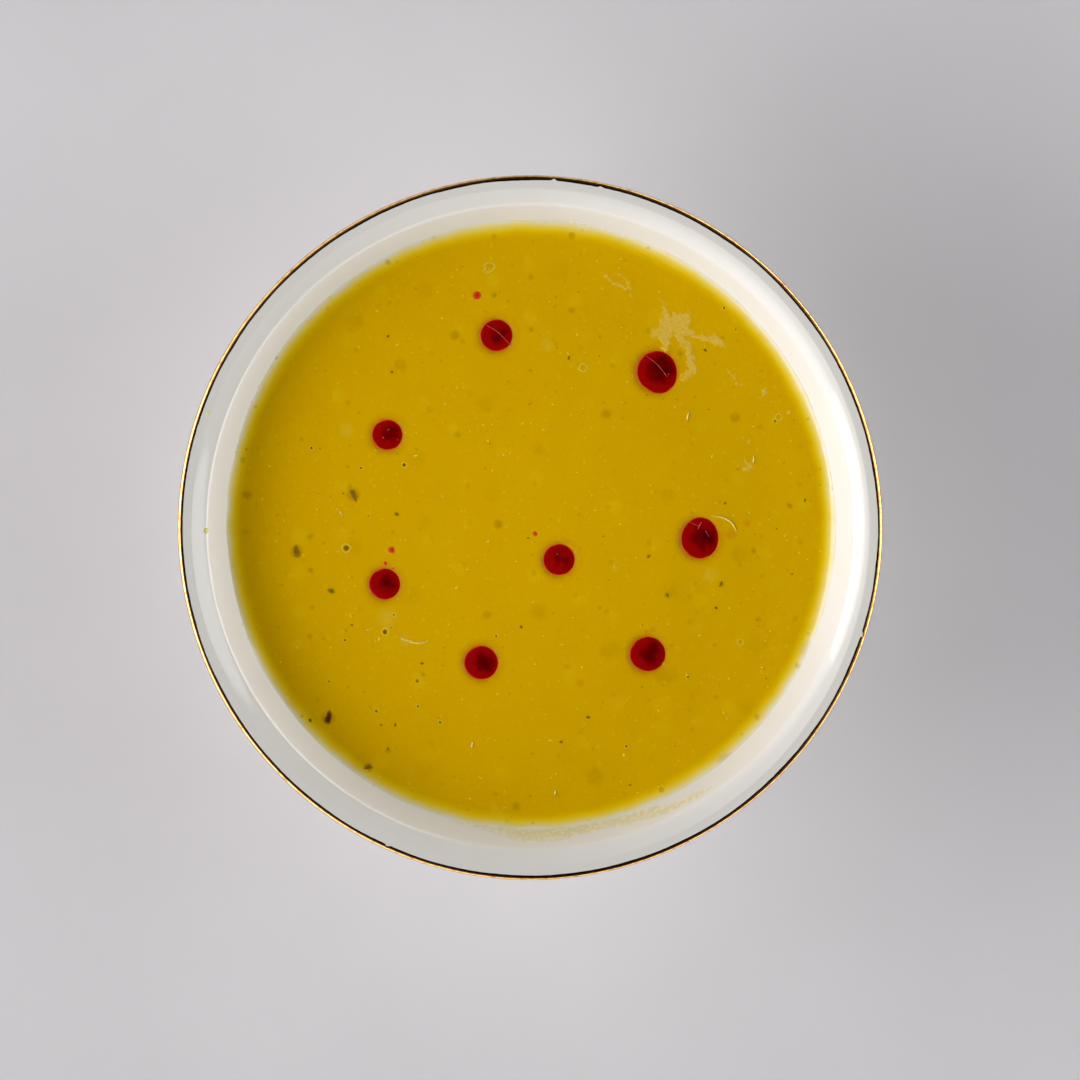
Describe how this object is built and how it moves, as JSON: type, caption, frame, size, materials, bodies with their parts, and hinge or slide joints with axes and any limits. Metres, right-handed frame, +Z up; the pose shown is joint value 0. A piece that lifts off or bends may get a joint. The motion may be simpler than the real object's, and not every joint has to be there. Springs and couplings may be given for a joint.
{
  "type": "bowl of lentil soup",
  "caption": "Round white china bowl with a turned-out lip and a gilded edge, filled with smooth yellow lentil soup on which red oil drops float.",
  "frame": {"origin": "middle of the foot ring's underside, where the bowl stands", "axes": "+Z up along the bowl's axis; +X to the right and +Y to the top of the picture, which looks down on the soup"},
  "size_m": [0.16, 0.16, 0.056],
  "materials": {
    "china": "glossy glazed white china with a bright gilded edge",
    "lentil_soup": "smooth, wet, slightly translucent yellow puree with fine specks",
    "red_oil": "glossy deep red oil"
  },
  "bodies": {
    "root": {"bowl": "china", "soup": "lentil_soup", "oil_drop_1": "red_oil", "oil_drop_2": "red_oil", "oil_drop_3": "red_oil", "oil_drop_4": "red_oil", "oil_drop_5": "red_oil", "oil_drop_6": "red_oil", "oil_drop_7": "red_oil", "oil_drop_8": "red_oil"}
  },
  "joints": []
}
